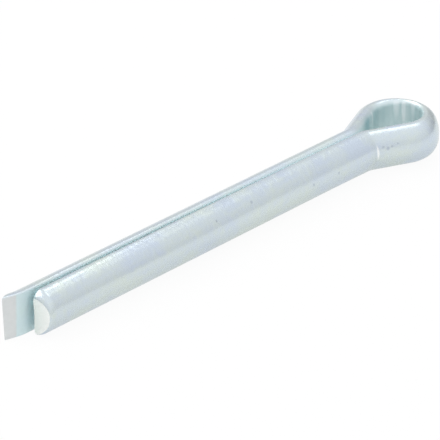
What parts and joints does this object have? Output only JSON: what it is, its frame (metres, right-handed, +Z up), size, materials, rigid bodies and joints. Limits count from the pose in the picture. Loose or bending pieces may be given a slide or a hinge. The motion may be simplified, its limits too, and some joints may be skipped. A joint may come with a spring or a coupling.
{
  "type": "cotter pin",
  "caption": "Split cotter pin of folded half-round wire, with a teardrop eye and legs of uneven length, for locking a castle nut or clevis pin through a cross hole.",
  "frame": {"origin": "halfway between the pin's two ends and its two sides, on the surface it lies on", "axes": "+X along the pin from the tips to the eye, +Y from the short leg to the long leg, +Z up through the eye's opening"},
  "size_m": [0.0788, 0.0114, 0.0058],
  "materials": {
    "zinc_plate": "satin zinc plate with a faint blue-green passivation"
  },
  "bodies": {
    "root": {"split_pin": "zinc_plate"}
  },
  "joints": []
}
